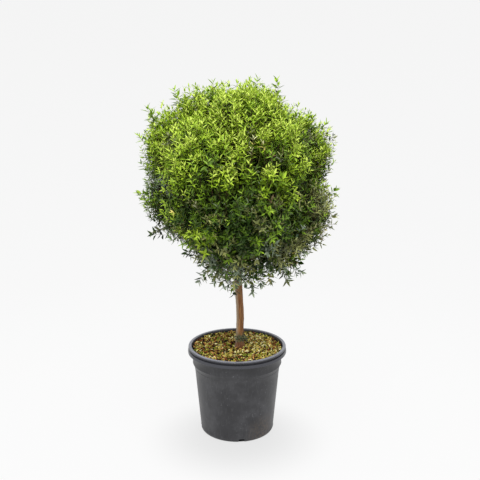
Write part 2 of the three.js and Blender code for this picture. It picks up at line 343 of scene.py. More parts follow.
def barkRelief(angle, along, radius, seed):
    # long fibrous ridges and lifted flakes, with broader swellings under them
    c, s = math.cos(angle), math.sin(angle)
    high, about, rise = relief["ridges"]
    total = high * noise.fractal(Vector((c * about + seed, s * about, along * rise)), 1.0, 2.1, 4)
    high, about, rise = relief["flakes"]
    total += high * max(0, noise.noise(Vector((c * about, s * about + seed, along * rise))))
    high, about, rise = relief["swells"]
    return radius * (total + high * noise.noise(Vector((c * about, s * about + seed, along * rise))))


def growLimb(bm, centreAt, radiusAt, sides, rings, seed):
    # a ring of edges is extruded along the centreline and laid round each of its points
    made = bmesh.ops.create_circle(bm, cap_ends=False, segments=sides, radius=1)["verts"]
    angles = {v: math.atan2(v.co.y, v.co.x) for v in made}
    edges = list({e for v in made for e in v.link_edges})
    first = list(edges)
    length = 0
    before = centreAt(0)
    for i in range(rings + 1):
        t = i / rings
        centre = centreAt(t)
        length += (centre - before).length
        before = centre
        along = (centreAt(min(1, t + 0.01)) - centreAt(max(0, t - 0.01))).normalized()
        side = along.cross(Vector((0.31, 0.95, 0))).normalized()
        up = side.cross(along)
        for v, a in angles.items():
            r = radiusAt(t, a)
            r += barkRelief(a, length, r, seed)
            v.co = centre + side * (r * math.cos(a)) + up * (r * math.sin(a))
        if i == rings:
            break
        grown = bmesh.ops.extrude_edge_only(bm, edges=edges)["geom"]
        edges = [g for g in grown if isinstance(g, bmesh.types.BMEdge) and not angles.keys() & set(g.verts)]
        above = {}
        for v in [g for g in grown if isinstance(g, bmesh.types.BMVert)]:
            below = next(e.other_vert(v) for e in v.link_edges if e.other_vert(v) in angles)
            above[v] = angles[below]
        angles = above
    bmesh.ops.edgeloop_fill(bm, edges=first)
    bmesh.ops.edgeloop_fill(bm, edges=edges)


def boughCentre(bearing, height):
    start = stemCentre(height)
    out = outwards(bearing, 0)
    steps = bough["steps"]

    def centreAt(t):
        p = start.copy()
        for i in range(steps):
            lift = math.radians(bough["lift"] + bough["bend"] * (i + 0.5) / steps * t)
            p += (out * math.cos(lift) + Vector((0, 0, math.sin(lift)))) * (bough["length"] * t / steps)
        return p
    return centreAt


def insideHollow(p):
    r = math.hypot(p.x - stem["forkX"], p.y)
    for (r0, z0), (r1, z1) in zip(hollow, hollow[1:]):
        if z0 <= p.z <= z1:
            return r < r0 + (r1 - r0) * (p.z - z0) / (z1 - z0)
    return False


def barkMaterial():
    # thin flaking bark of a young shrub: warm brown with paler grey-tan strips where it has lifted,
    # and a green-grey film of algae where the stem stays damp above the pot
    material, tree, shader = newMaterial("flakingBark", "#8a6243", 0.82, 1.4)
    place = addNode(tree, "TexCoord").outputs["Object"]
    height = addNode(tree, "SeparateXYZ", {"Vector": place}).outputs["Z"]
    # strips about 3 mm wide and 40 mm long
    stretch = addNode(tree, "Mapping", {"Vector": place, "Scale": (perMm / 3, perMm / 3, perMm / 40)})
    strips = addNode(tree, "TexNoise", {"Vector": stretch, "Scale": 1, "Detail": 6, "Roughness": 0.65})
    tones = addNode(tree, "ValToRGB", {"Fac": strips})
    setStops(tones, [
        [0.25, "#452812"], [0.42, "#855a32"], [0.55, "#a97d4e"], [0.68, "#bb9a70"], [0.85, "#cbb796"]])
    # blotches about 14 mm across that turn it redder or greyer
    blotches = addNode(tree, "TexNoise", {"Vector": place, "Scale": perMm / 14, "Detail": 3})
    blotchTones = addNode(tree, "ValToRGB", {"Fac": blotches})
    setStops(blotchTones, [[0.32, "#d09a68"], [0.5, "#dabf9c"], [0.68, "#c9bca8"]])
    surface = addNode(tree, "Mix", {"Factor": 0.55, "A": tones, "B": blotchTones}, data_type="RGBA",
                      blend_type="MULTIPLY")
    # painted light: the side that faces the light is made paler
    aside = addNode(tree, "SeparateXYZ", {"Vector": addNode(tree, "TexCoord").outputs["Normal"]})
    # algae in a ragged band centred 27 mm above the soil, in a pattern about 7 mm across
    off = addNode(tree, "Math", {0: height, 1: 0.237}, operation="SUBTRACT")
    off = addNode(tree, "Math", {0: off}, operation="ABSOLUTE")
    band = addNode(tree, "MapRange", {"Value": off, "From Min": 0.016, "From Max": 0.005, "To Max": 1})
    ragged = addNode(tree, "TexNoise", {"Vector": place, "Scale": perMm / 7, "Detail": 4})
    ragged = addNode(tree, "MapRange", {"Value": ragged, "From Min": 0.35, "From Max": 0.55})
    # grey-tan painted light on the left side, green algae, and a foot that damp has turned redder and darker
    paintedLitSide = addNode(tree, "MapRange", {
        "Value": aside.outputs["X"], "From Min": -0.2, "From Max": -0.85, "To Max": 0.75})
    algae = addNode(tree, "Math", {0: band, 1: ragged}, operation="MULTIPLY")
    damp = addNode(tree, "MapRange", {"Value": height, "From Min": 0.232, "From Max": 0.222, "To Max": 0.7})
    for mask, colour in ((paintedLitSide, "#a89983"), (algae, "#4f5238"), (damp, "#5f3a24")):
        surface = addNode(tree, "Mix", {"Factor": mask, "A": surface, "B": linear(colour)}, data_type="RGBA")
    # the strips stand up, with wrinkles round the stem about 3 mm apart
    bump = addNode(tree, "Bump", {"Height": strips, "Strength": 0.55, "Distance": 0.6 * mm})
    squash = addNode(tree, "Mapping", {"Vector": place, "Scale": (perMm / 14, perMm / 14, perMm / 3)})
    wrinkles = addNode(tree, "TexNoise", {"Vector": squash, "Scale": 1, "Detail": 3})
    bump = addNode(tree, "Bump", {"Height": wrinkles, "Strength": 0.5, "Distance": 0.8 * mm, "Normal": bump})
    setInputs(tree, shader, {"Base Color": surface, "Normal": bump})
    return material


def stubMaterial():
    # the cut end of an old side branch: dark, damp wood with a little algae in its cracks
    material, tree, shader = newMaterial("weatheredCutWood", "#26281f", 0.85, 1.4)
    place = addNode(tree, "TexCoord").outputs["Object"]
    cracks = addNode(tree, "TexNoise", {"Vector": place, "Scale": perMm / 3, "Detail": 4})
    tones = addNode(tree, "ValToRGB", {"Fac": cracks})
    setStops(tones, [[0.35, "#14150f"], [0.55, "#2b2d22"], [0.7, "#474b36"]])
    setInputs(tree, shader, {"Base Color": tones})
    return material


bark = barkMaterial()
cutWood = stubMaterial()


def tapering(start, end, last=1):
    # a radius that changes evenly, for a limb cut off at the last part of its length
    return lambda t, angle: start + (end - start) * t * last


def makeTrunk():
    bm = bmesh.new()
    foot, tall = stem["foot"], stem["fork"] - stem["foot"]
    growLimb(bm, lambda t: stemCentre(foot + tall * t), lambda t, a: stemRadius(foot + tall * t, a),
             stem["sides"], stem["rings"], stem["seed"])
    # a cut stub low on the left, a knot on the right and one behind
    grown = set(bm.faces)
    for z, bearing, size, reach in bough["stubs"]:
        out = outwards(bearing, 0.35)
        base = stemCentre(z) + out * stem["mid"] * 0.6
        growLimb(bm, lambda t: base + out * (stem["mid"] * 0.4 + reach) * t,
                 tapering(size, size * bough["stubTaper"]), bough["stubSides"], bough["stubRings"], z * 10)
    for face in set(bm.faces) - grown:
        face.material_index = 1
    return finishPiece("trunk_bark", meshOf("trunk_bark", bm), [bark, cutWood], ["trunk"])


def makeLimb(name, node, centreAt, radiusAt, seed):
    bm = bmesh.new()
    growLimb(bm, centreAt, radiusAt, bough["sides"], bough["rings"], seed)
    finishPiece(name, meshOf(name, bm), [bark], [node])


def makeLimbs():
    # each bough ends where it enters the foliage, and carries its twigs from there
    count, tips = 0, []
    for height, start, each in bough["tiers"]:
        for i in range(each):
            count += 1
            centreAt = boughCentre(start + 360 * i / each, height)
            last = max(t for t in np.linspace(0, 1, 60) if insideHollow(centreAt(t)) or t < 0.1)
            makeLimb("bough_bark_%d" % count, "bough_%d" % count, lambda t: centreAt(t * last),
                     tapering(bough["root"], bough["tip"], last), count * 2.3)
            tips.append(centreAt(last))
    start, top = stemCentre(stem["fork"]), Vector((stem["forkX"], 0, bough["leaderTop"]))
    makeLimb("leader_bark", "leader", lambda t: start.lerp(top, t),
             tapering(bough["leaderRoot"], bough["leaderTip"]), bough["leaderSeed"])
    return tips + [top]


trunk = makeTrunk()
boughTips = makeLimbs()
print("wood:", len(trunk.data.polygons), "faces on the trunk,", len(boughTips), "limbs")

# the crown's skin; its bare middle is given as radius, lowest and highest
crown = {"centre": np.array([0, 0, 0.60]), "low": 0.37, "high": 0.86, "seed": 23,
         "bare": [0.066, 0.335, 0.585], "touch": 1.2 * mm}
clumpNames = sorted(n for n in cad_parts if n.startswith("foliage_"))
rng = np.random.default_rng(crown["seed"])
upwards = np.array([0, 0, 1.0])


def readClump(name):
    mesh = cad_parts[name].data
    points = np.empty(len(mesh.vertices) * 3)
    mesh.vertices.foreach_get("co", points)
    mesh.calc_loop_triangles()
    corners = np.empty(len(mesh.loop_triangles) * 3, dtype=int)
    mesh.loop_triangles.foreach_get("vertices", corners)
    return points.reshape(-1, 3), corners.reshape(-1, 3)


def crownSkin():
    # the triangles of the clumps that face the open air, not a neighbour or the bare middle
    shapes = [readClump(name) for name in clumpNames]
    trees = [BVHTree.FromPolygons([Vector(p) for p in points], faces.tolist()) for points, faces in shapes]
    bare, low, high = crown["bare"]
    corners, owners = [], []
    for i, (points, faces) in enumerate(shapes):
        others = trees[:i] + trees[i + 1:]
        for triangle in points[faces]:
            middle = Vector(triangle.mean(axis=0))
            if math.hypot(middle.x - stem["forkX"], middle.y) < bare and low < middle.z < high:
                continue
            if any(tree.find_nearest(middle, crown["touch"])[0] is not None for tree in others):
                continue
            corners.append(triangle)
            owners.append(i)
    return np.array(corners), np.array(owners)


skin, skinOwner = crownSkin()
skinCross = np.cross(skin[:, 1] - skin[:, 0], skin[:, 2] - skin[:, 0])
skinArea = np.linalg.norm(skinCross, axis=1) / 2
skinNormal = unit(skinCross)
print("crown skin: %d triangles, %.2f square metres" % (len(skin), skinArea.sum()))


def treeOf(points):
    tree = KDTree(len(points))
    for i, p in enumerate(points):
        tree.insert(p, i)
    tree.balance()
    return tree


def spreadOnSkin(spacing):
    # points all over the skin, none nearer to another than the spacing
    count = int(skinArea.sum() / spacing ** 2 * 12)
    face = rng.choice(len(skin), count, p=skinArea / skinArea.sum())
    a, b = rng.random(count), rng.random(count)
    flip = a + b > 1
    a[flip], b[flip] = 1 - a[flip], 1 - b[flip]
    corner, second, third = skin[face].transpose(1, 0, 2)
    points = corner + a[:, None] * (second - corner) + b[:, None] * (third - corner)
    tree = treeOf(points)
    free = np.ones(count, dtype=bool)
    kept = []
    for i in range(count):
        if free[i]:
            kept.append(i)
            for _, j, _ in tree.find_range(points[i], spacing):
                free[j] = False
    return points[kept], face[kept]


# the shoots: the tufts they stand in, then their layers from the outside in, with how deep they lie, how
# far apart and how long, in metres, their pairs of leaves, how many pairs are full, and a leaf's size
tuft = {"spacing": 0.030, "radius": 0.0195, "proud": 0.003, "hollow": 0.0135, "splay": 0.30, "most": 0.011,
        "clipped": [0.79, 0.845], "clip": 0.007, "alike": 0.65}
shootLayers = [
    {"depth": [-0.011, 0.012], "apart": 0.016, "long": [0.056, 0.072], "pairs": 6, "full": 6, "size": 1.0},
    {"depth": [0.008, 0.018], "apart": 0.012, "long": [0.046, 0.062], "pairs": 6, "full": 3, "size": 0.98},
    {"depth": [0.014, 0.026], "apart": 0.0125, "long": [0.04, 0.056], "pairs": 5, "full": 0, "size": 1.08},
    {"depth": [0.038, 0.058], "apart": 0.0175, "long": [0.036, 0.052], "pairs": 5, "full": 0, "size": 1.25},
    {"depth": [0.066, 0.092], "apart": 0.022, "long": [0.036, 0.052], "pairs": 5, "full": 0, "size": 1.5},
    {"depth": [0.10, 0.14], "apart": 0.028, "long": [0.036, 0.052], "pairs": 4, "full": 0, "size": 1.75},
]
# how shoots and leaves change from the fringe, level 0, to the top, level 1: how much they turn up to
# the light, and how big and how far apart their leaves are; then how unlike each other they are
growth = {"levels": [0, 0.2, 0.5, 0.75, 1], "lift": [-0.25, 0.15, 0.7, 1.1, 1.8],
          "fringe": [0, 0.2, 0.36], "leafSize": [1.34, 1.2, 1], "leafSpread": [1.5, 1.3, 1],
          "wander": 0.17, "bend": [-0.02, 0.22], "crook": 0.07}
strayShoots = {"long": [0.068, 0.086], "pairs": 6, "full": 6, "size": 1.46, "behind": 0.017, "aside": 0.008,
               "vigour": 0.6, "spread": 0.8}
# gaps in the outer shoots, as centre and size
gaps = [[[0.038, -0.208, 0.706], 0.018], [[0.056, -0.205, 0.713], 0.013]]
# longer shoots that have outgrown the clipped outline, as the places of their tips
strayTips = [
    [-0.201, -0.029, 0.792], [-0.193, -0.019, 0.781], [-0.140, -0.019, 0.832], [-0.136, 0.039, 0.818],
    [-0.054, 0.019, 0.848], [-0.019, 0.000, 0.843], [0.029, 0.029, 0.851], [0.047, 0.000, 0.855],
    [0.090, 0.000, 0.853], [0.095, 0.019, 0.840], [0.064, -0.019, 0.836], [0.163, -0.029, 0.776],
    [0.207, 0.019, 0.755], [0.171, -0.039, 0.770], [-0.219, -0.049, 0.731], [-0.222, 0.000, 0.662],
    [0.216, 0.029, 0.697], [0.227, -0.029, 0.606], [0.229, -0.010, 0.539], [-0.225, -0.039, 0.600],
    [-0.223, 0.019, 0.573], [-0.194, -0.058, 0.508], [0.118, -0.049, 0.392], [0.150, -0.039, 0.412],
    [0.037, -0.068, 0.371], [-0.089, -0.039, 0.390], [-0.049, 0.146, 0.836], [0.107, 0.185, 0.756],
    [-0.117, 0.195, 0.717], [0.019, 0.228, 0.639], [0.155, 0.165, 0.561], [-0.155, 0.160, 0.547],
    [-0.022, -0.030, 0.372], [-0.036, -0.040, 0.385], [-0.015, 0.010, 0.364], [-0.052, -0.020, 0.392],
    [0.020, -0.050, 0.384], [0.056, -0.050, 0.386], [0.080, -0.040, 0.390], [-0.008, -0.040, 0.358],
    [0.039, 0.127, 0.378], [-0.058, -0.214, 0.697], [0.097, -0.206, 0.658],
]


def fullness(p):
    # how much of the foliage is left at a point: thin round the low fringe, most of all on the left
    return np.clip((p[:, 2] - 0.347 + 0.5 * np.minimum(p[:, 0] + 0.04, 0)) / 0.18, 0.2, 1)


def findTufts():
    # shoots stand in tufts with darker hollows between them
    centres = spreadOnSkin(tuft["spacing"])[0]
    return centres, treeOf(centres), rng.normal(0, 1, len(centres)), rng.random(len(centres))


tuftCentres, tuftTree, tuftVigour, tuftDeal = findTufts()


def gatherShoots():
    rows = []  # of tips, outward directions, layers, owners, lengths, vigours and deals
    for i, kind in enumerate(shootLayers):
        points, face = spreadOnSkin(kind["apart"])
        keep = rng.random(len(points)) < fullness(points) ** (0.6 + 0.4 * i)
        for centre, size in gaps if i < 3 else []:
            keep &= np.linalg.norm(points - centre, axis=1) > size * 1.5 ** (i > 0)
        points, face = points[keep], face[keep]
        found = [tuftTree.find(p) for p in points]
        which = np.array([f[1] for f in found])
        off = np.array([f[2] for f in found]) / tuft["radius"]
        splay = (points - tuftCentres[which]) / tuft["radius"] * tuft["splay"]
        out = unit(0.5 * skinNormal[face] + unit(points - crown["centre"]) + splay)
        depth = rng.uniform(*kind["depth"], len(points))
        sunk = tuft["hollow"] * np.clip(off, 0, 1.3) ** 2 - tuft["proud"] * (1 + 0.6 * tuftVigour[which])
        sunk /= max(1, i)
        sunk += np.interp(points[:, 2], tuft["clipped"], [0, tuft["clip"]])
        length = rng.uniform(*kind["long"], len(points))
        # most shoots of a tuft are alike, except round the fringe
        alike = rng.random(len(points)) < tuft["alike"] * fullness(points)
        rows.append([points - out * np.maximum(depth + sunk, -tuft["most"])[:, None], out,
                     np.full(len(points), i), skinOwner[face], length,
                     0.7 * (0.5 - off) + 0.6 * tuftVigour[which],
                     np.where(alike, tuftDeal[which], rng.random(len(points)))])
    # every stray has a companion a little behind it
    strays = np.array(strayTips)
    behind = strays - unit(strays - crown["centre"]) * strayShoots["behind"]
    strays = np.concatenate([strays, behind + rng.normal(0, strayShoots["aside"], strays.shape)])
    nearest = [np.argmin(np.linalg.norm(skin.mean(axis=1) - p, axis=1)) for p in strays]
    rows.append([strays, unit(strays - crown["centre"]), np.full(len(strays), len(shootLayers)),
                 skinOwner[nearest], rng.uniform(*strayShoots["long"], len(strays)),
                 np.full(len(strays), strayShoots["vigour"]), rng.random(len(strays))])
    return [np.concatenate(column) for column in zip(*rows)]


tip, outward, layer, owner, reach, vigour, deal = gatherShoots()
shootCount = len(tip)
isStray = layer == len(shootLayers)
level = (tip[:, 2] - crown["low"]) / (crown["high"] - crown["low"])  # 0 at the fringe, 1 at the top
# shoots turn up to the light, most of all on the top, and round the fringe they hang a little
lift = np.interp(level, growth["levels"], growth["lift"])
heading = unit(outward + upwards * lift[:, None] + rng.normal(0, growth["wander"], (shootCount, 3)))
bend = upwards * rng.uniform(*growth["bend"], shootCount)[:, None]
bend += rng.normal(0, growth["crook"], (shootCount, 3))
root = tip - (heading + bend) * reach[:, None]
# leaves are small on the clipped top and sides and larger and wider apart round the fringe
leafGrowth = np.interp(level, growth["fringe"], growth["leafSize"])
leafGrowth[isStray] = 1
leafSpread = np.interp(level, growth["fringe"], growth["leafSpread"])
leafSpread[isStray] = strayShoots["spread"]
print("shoots:", shootCount)

# the twigs between the boughs and the shoots: radius of one that carries a single shoot, how fast it
# grows with more, and the points in the middle of the crown that they may pass through
twig = {"thin": 0.55 * mm, "power": 0.30, "pull": 0.35, "middlePoints": 420, "middle": [0.25, 0.8],
        "middleSize": np.array([0.2, 0.2, 0.215]), "middleClear": 0.05, "middleLow": 0.42,
        "bow": 0.07, "stout": 3, "shootStem": [0.55 * mm, 0.25 * mm]}


def growTwigs():
    # every shoot's root joins the nearest wood that is nearer to the boughs, which makes a
    # branching tree from the boughs out, then each twig thickens with what it carries
    starts = np.array([list(p) for p in boughTips])
    middle = unit(rng.normal(0, 1, (twig["middlePoints"], 3)))
    middle *= rng.uniform(*twig["middle"], len(middle))[:, None] * twig["middleSize"]
    middle += crown["centre"]
    clear = np.hypot(middle[:, 0], middle[:, 1]) > twig["middleClear"]
    middle = middle[clear & (middle[:, 2] > twig["middleLow"])]
    points = np.concatenate([starts, middle, root])
    toRoot = np.min(np.linalg.norm(points[:, None] - starts[None], axis=2), axis=1)
    order = np.argsort(toRoot, kind="stable")
    parent = np.full(len(points), -1)
    path = np.zeros(len(points))
    for n, i in enumerate(order):
        if i < len(starts):
            continue
        known = order[:n]
        gap = np.linalg.norm(points[known] - points[i], axis=1)
        cost = gap + twig["pull"] * path[known]
        best = known[np.argmin(cost)]
        parent[i] = best
        path[i] = path[best] + np.linalg.norm(points[best] - points[i])
    carried = np.zeros(len(points))
    carried[len(points) - shootCount:] = 1
    for i in order[::-1]:
        if parent[i] >= 0:
            carried[parent[i]] += carried[i]
    thick = twig["thin"] * np.maximum(carried, 1) ** twig["power"]
    return points, parent, thick, carried


twigPoints, twigParent, twigThick, twigCarried = growTwigs()
print("twigs:", (twigParent >= 0).sum(), "thickest %.1f mm" % (twigThick.max() * 2000))


def tubes(lines, radii, sides):
    # joined tapering tubes along many lines of the same number of points
    count, steps = lines.shape[:2]
    along = unit(np.gradient(lines, axis=1))
    side = unit(np.cross(along, np.array([0.37, 0.21, 0.9])))
    up = np.cross(side, along)
    angle = np.arange(sides) * 2 * math.pi / sides
    c, s = np.cos(angle)[None, None, :, None], np.sin(angle)[None, None, :, None]
    ring = side[:, :, None] * c - up[:, :, None] * s
    points = lines[:, :, None] + ring * radii[:, :, None, None]
    row = (np.arange(count)[:, None] * steps + np.arange(steps - 1))[:, :, None] * sides
    k = np.arange(sides)[None, None, :]
    after = (k + 1) % sides
    faces = np.stack([row + k, row + sides + k, row + sides + after, row + after], axis=-1)
    return points.reshape(-1, 3), faces.reshape(-1, 4)[:, ::-1]


def joinedMesh(name, points, faces, colour):
    # one mesh from arrays: faces is a list of [corner arrays, colour arrays], each of one corner count
    mesh = bpy.data.meshes.new(name)
    mesh.vertices.add(len(points))
    mesh.vertices.foreach_set("co", points.astype(np.float32).ravel())
    loops = np.concatenate([f.ravel() for f in faces])
    sizes = np.concatenate([np.full(len(f), f.shape[1]) for f in faces])
    mesh.loops.add(len(loops))
    mesh.loops.foreach_set("vertex_index", loops.astype(np.int32))
    mesh.polygons.add(len(sizes))
    mesh.polygons.foreach_set("loop_start", (np.cumsum(sizes) - sizes).astype(np.int32))
    mesh.polygons.foreach_set("material_index", np.concatenate(colour).astype(np.int32))
    mesh.update(calc_edges=True)
    mesh.validate()
    return mesh


# twig bark by age: grey-brown on the old wood, then brown, and green-brown and smooth this year
twigBarks = [newMaterial(name, colour, 0.75)[0] for name, colour in (
    ("oldTwigBark", "#5d4a39"), ("brownTwigBark", "#6a5138"),
    ("greenTwigBark", "#6f6a36"), ("tanTwigBark", "#7d6140"))]


def bentLines(start, end, bow, count):
    # lines from start to end that bow out to one side
    share = np.linspace(0, 1, count)[None, :, None]
    return start[:, None] * (1 - share) + end[:, None] * share + bow[:, None] * (4 * share * (1 - share))


def makeTwigs():
    edges = np.nonzero(twigParent >= 0)[0]
    start, end = twigPoints[twigParent[edges]], twigPoints[edges]
    wide = np.minimum(twigThick[twigParent[edges]], twigThick[edges] * 1.35)
    bow = rng.normal(0, twig["bow"], (len(edges), 3)) * np.linalg.norm(end - start, axis=1)[:, None]
    count = len(clumpNames)
    clumpCentres = np.array([skin[skinOwner == i].reshape(-1, 3).mean(axis=0) for i in range(count)])
    clumpCentres = clumpCentres * 0.8 + crown["centre"] * 0.2
    home = np.array([np.argmin(np.linalg.norm(clumpCentres - p, axis=1)) for p in end])
    stout = twigCarried[edges] > twig["stout"]
    outer = (layer < 2) | isStray
    for i, name in enumerate(clumpNames):
        lots = []  # of lines, their radii, sides, first bark, and how many wear the next bark
        for which, sides, steps in (((home == i) & stout, 5, 4), ((home == i) & ~stout, 3, 3)):
            share = np.linspace(0, 1, steps)[None]
            radii = wide[which][:, None] * (1 - share) + twigThick[edges][which][:, None] * share
            lots.append([bentLines(start[which], end[which], bow[which], steps), radii, sides, 0, 0.4])
        # the leafy shoots' own stems, thin and green
        for which, steps in (((owner == i) & outer, 3), ((owner == i) & ~outer, 2)):
            share = np.linspace(0, 1, steps)[None, :, None]
            line = heading[which][:, None] * share + bend[which][:, None] * share ** 2
            line = root[which][:, None] + line * reach[which][:, None, None]
            radii = np.linspace(*twig["shootStem"], steps)[None] * np.ones((which.sum(), 1))
            lots.append([line, radii, 3, 2, 0.25])
        points, faces, barks, first = [], [], [], 0
        for line, radii, sides, bark, share in lots:
            made, quads = tubes(line, radii, sides)
            points.append(made)
            faces.append(quads + first)
            other = rng.random(len(line)) < share
            barks.append(np.repeat(bark + other.astype(int), sides * (line.shape[1] - 1)))
            first += len(made)
        mesh = joinedMesh("twigs_" + name[8:], np.concatenate(points), faces, barks)
        finishPiece("twigs_" + name[8:], mesh, twigBarks, [name])


makeTwigs()
print("twigs made")

# small leathery evergreen leaves, pointed and folded along the midrib; the waxy skin gives a
# satin gloss, most on the fringe. Most colours, with their roughness and gloss, are ages of leaf; shade and
# deep are painted shade on the leaves inside the crown.
leafTones = {
    "tipPale": ["#bace50", 0.5, 0.35], "tipBright": ["#abc536", 0.5, 0.35],
    "tipGreen": ["#9ab828", 0.48, 0.3], "young": ["#88a922", 0.46, 0.3],
    "fresh": ["#749420", 0.44, 0.25], "grown": ["#5b791d", 0.42, 0.25],
    "old": ["#41581a", 0.38, 0.5], "shade": ["#28400f", 0.45, 0.15], "deep": ["#162609", 0.5, 0.1],
    "dullTip": ["#858c4c", 0.42, 0.6], "dull": ["#61682f", 0.38, 0.6], "dullOld": ["#3f4622", 0.38, 0.5],
    "oliveTip": ["#a8ae62", 0.42, 0.6], "olive": ["#858c4c", 0.4, 0.6], "oliveOld": ["#575e33", 0.4, 0.6],
    "greyTip": ["#9bab85", 0.38, 0.9], "grey": ["#6c8062", 0.33, 1.0], "greyOld": ["#4a5d44", 0.32, 1.0],
    "dryTip": ["#a3906a", 0.6, 0.2], "dry": ["#806d4e", 0.65, 0.2], "dryOld": ["#594a33", 0.65, 0.2],
    "yellowed": ["#d8cc6c", 0.5, 0.3], "bleached": ["#cdcd9a", 0.5, 0.3],
}
toneNames = list(leafTones)
leafMaterials = [newMaterial("leaf" + tone[0].upper() + tone[1:], colour, roughness, gloss=gloss)[0]
                 for tone, (colour, roughness, gloss) in leafTones.items()]
# what each kind of spray wears, from its tip back
sprayKinds = {
    "sunny": ["tipPale", "tipPale", "tipBright", "tipGreen", "young", "fresh"],
    "bright": ["tipBright", "tipBright", "tipGreen", "young", "fresh", "grown"],
    "green": ["tipGreen", "tipGreen", "young", "fresh", "grown", "grown"],
    "mature": ["young", "fresh", "fresh", "grown", "grown", "old"],
    "shaded": ["grown", "grown", "old", "old", "shade", "shade"],
    "dull": ["dullTip", "dull", "dull", "dullOld", "dullOld", "shade"],
    "olive": ["oliveTip", "oliveTip", "olive", "olive", "oliveOld", "oliveOld"],
    "deep": ["old", "shade", "shade", "shade", "deep", "deep"],
    "grey": ["greyTip", "grey", "grey", "greyOld", "greyOld", "shade"],
    "dry": ["dryTip", "dry", "dry", "dryOld", "dryOld", "shade"],
    "yellowed": ["yellowed", "yellowed", "tipGreen", "fresh", "grown", "old"],
    "bleached": ["bleached", "bleached", "yellowed", "tipGreen", "grown", "old"],
}
kindNames = list(sprayKinds)
sprayTones = np.array([[toneNames.index(t) for t in tones] for tones in sprayKinds.values()])
# how the kinds are shared out at six levels of the crown, from the fringe to the top
kindLevels = [0.04, 0.17, 0.37, 0.55, 0.74, 1.0]
kindShares = {
    "sunny": [0.00, 0.00, 0.00, 0.03, 0.64, 0.70], "bright": [0.00, 0.00, 0.00, 0.14, 0.30, 0.26],
    "green": [0.01, 0.00, 0.01, 0.22, 0.07, 0.04], "mature": [0.14, 0.04, 0.05, 0.22, 0.01, 0.00],
    "shaded": [0.10, 0.24, 0.32, 0.19, 0.00, 0.00], "dull": [0.14, 0.26, 0.22, 0.06, 0.00, 0.00],
    "olive": [0.12, 0.15, 0.03, 0.00, 0.00, 0.00], "deep": [0.02, 0.18, 0.34, 0.07, 0.00, 0.00],
    "grey": [0.42, 0.12, 0.00, 0.00, 0.00, 0.00], "dry": [0.010, 0.008, 0.005, 0.003, 0.001, 0.001],
    "yellowed": [0.004, 0.003, 0.003, 0.003, 0.003, 0.003], "bleached": [0, 0, 0, 0, 0, 0],
}
# how dim each layer of shoots is, the strays last, how far in the light reaches at four levels, and how
# fast the bright kinds give way to the dark ones where it is dim; these dark kinds are painted shade
dimness = {"layers": [0, 0.5, 1.1, 2.0, 3.2, 5.0, 0], "levels": [0.15, 0.3, 0.45, 0.7],
           "most": [0.7, 1.4, 1.5, 0.2], "fading": {"sunny": 1.4, "bright": 0.8, "green": 0.25},
           "growing": {"shaded": 0.12, "deep": 0.10}}
# patches of their own kind: centre, size, kind and how much of it
patches = [
    [[0.185, -0.07, 0.600], 0.080, "olive", 0.6], [[0.170, -0.09, 0.690], 0.028, "dry", 0.4],
    [[0.190, -0.06, 0.540], 0.05, "dry", 0.12], [[0.14, -0.14, 0.46], 0.08, "olive", 0.4],
    [[-0.195, -0.085, 0.60], 0.055, "grey", 0.4], [[-0.215, -0.03, 0.67], 0.035, "grey", 0.45],
    [[-0.06, -0.11, 0.44], 0.05, "grey", 0.35], [[-0.15, -0.07, 0.50], 0.045, "grey", 0.4],
    [[-0.115, -0.145, 0.505], 0.05, "mature", 0.45],
    [[-0.125, -0.14, 0.52], 0.045, "bright", 0.45], [[-0.073, -0.18, 0.495], 0.018, "dry", 0.35],
    [[0.0, -0.17, 0.755], 0.065, "sunny", 0.8], [[0.0, -0.20, 0.635], 0.07, "shaded", 0.5],
    [[0.060, -0.204, 0.724], 0.021, "bleached", 0.95], [[0.047, -0.20, 0.711], 0.022, "dry", 0.35],
    [[0.007, -0.195, 0.670], 0.012, "bleached", 0.8], [[-0.001, -0.20, 0.631], 0.012, "bleached", 0.8],
    [[-0.08, 0.19, 0.55], 0.06, "grey", 0.4], [[0.12, 0.17, 0.66], 0.05, "olive", 0.5],
]


def dealKinds():
    at = np.interp(level - 0.35 * tip[:, 0], kindLevels, range(6))  # the left is brighter lower down
    # patches of brighter and duller growth about 60 mm across
    vary = np.array([noise.noise(Vector(p) * (perMm / 60)) for p in tip])
    at = np.clip(at + (vary * 0.8 + vigour) * np.clip(level * 4 - 1.8, 0.06, 1), 0, 5)
    shares = np.array([np.interp(at, range(6), kindShares[k]) for k in kindNames]).T
    # deeper shoots get darker kinds, painted shade, but the light reaches further in at the top
    dim = np.array(dimness["layers"])[layer] * np.interp(level, dimness["levels"], dimness["most"])
    for kind, pace in dimness["fading"].items():
        shares[:, kindNames.index(kind)] *= np.exp(-pace * dim)
    for kind, pace in dimness["growing"].items():
        shares[:, kindNames.index(kind)] += pace * dim
    for centre, size, kind, strength in patches:
        near = np.exp(-np.sum((tip - centre) ** 2, axis=1) / size ** 2)
        shares *= (1 - strength * near)[:, None]
        shares[:, kindNames.index(kind)] += strength * near
    shares /= shares.sum(axis=1, keepdims=True)
    kinds = (deal[:, None] > np.cumsum(shares, axis=1)).sum(axis=1).clip(0, len(kindNames) - 1)
    # the strays are this year's wood with grown leaves, darker than the tips round them
    strays = np.nonzero(isStray & (level > 0.4))[0]
    kinds[strays] = np.where(deal[strays] < 0.7, kindNames.index("green"), kindNames.index("mature"))
    return kinds


leaf = {
    "back": np.array([0.3, 4.2, 10.0, 17.0, 25, 34]) * mm,  # each pair's distance behind the tip
    "long": np.array([10.0, 12.8, 13.6, 13.8, 13.8, 13.4]) * mm,
    "open": np.radians([32, 52, 64, 71, 76, 79]),
    "wide": 0.30, "usual": 14 * mm, "fold": 0.5, "curl": 0.06, "rise": 0.45, "kept": [0.97, 0.86],
}
